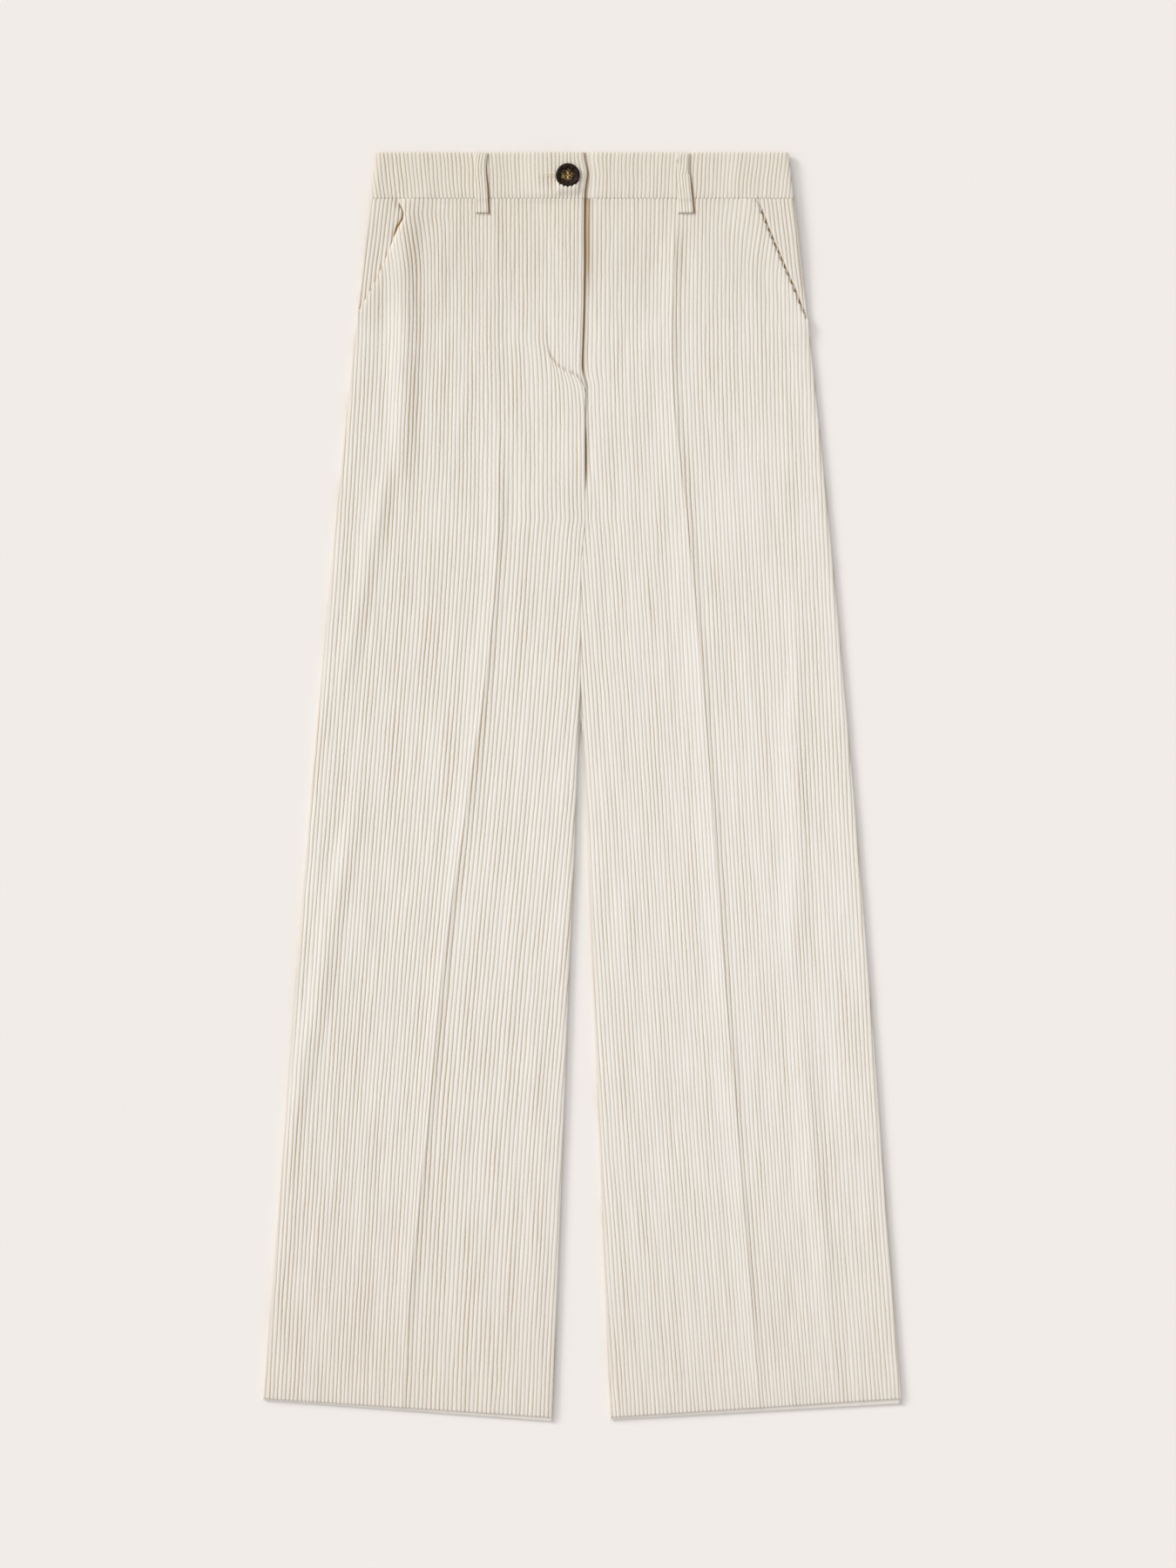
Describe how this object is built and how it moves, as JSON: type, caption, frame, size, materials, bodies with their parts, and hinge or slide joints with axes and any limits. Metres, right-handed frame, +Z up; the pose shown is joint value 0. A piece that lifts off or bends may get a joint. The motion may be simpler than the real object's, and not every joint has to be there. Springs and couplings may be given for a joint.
{
  "type": "corduroy trousers",
  "caption": "Wide-leg corduroy trousers with a high waist, buttoned waistband, fly, slanted pockets, belt loops and pressed creases, laid flat on their back.",
  "frame": {"origin": "on the surface the trousers lie on, under the middle of their length and width", "axes": "+Y from the hems to the waist, +Z up from the surface through the front, +X towards the wearer's left leg"},
  "size_m": [0.5546, 1.1, 0.0137],
  "materials": {
    "corduroy": "cream wide-wale cotton corduroy, brushed pile",
    "button": "dark brown horn-like resin, polished"
  },
  "bodies": {
    "root": {"front_right": "corduroy", "front_left": "corduroy", "back_right": "corduroy", "back_left": "corduroy", "waistband_front_right": "corduroy", "waistband_front_left": "corduroy", "waistband_back": "corduroy", "belt_loop_front_right": "corduroy", "belt_loop_front_left": "corduroy", "belt_loop_back_right": "corduroy", "belt_loop_back_centre": "corduroy", "belt_loop_back_left": "corduroy", "pocket_facing_right": "corduroy", "pocket_facing_left": "corduroy", "button": "button"}
  },
  "joints": []
}
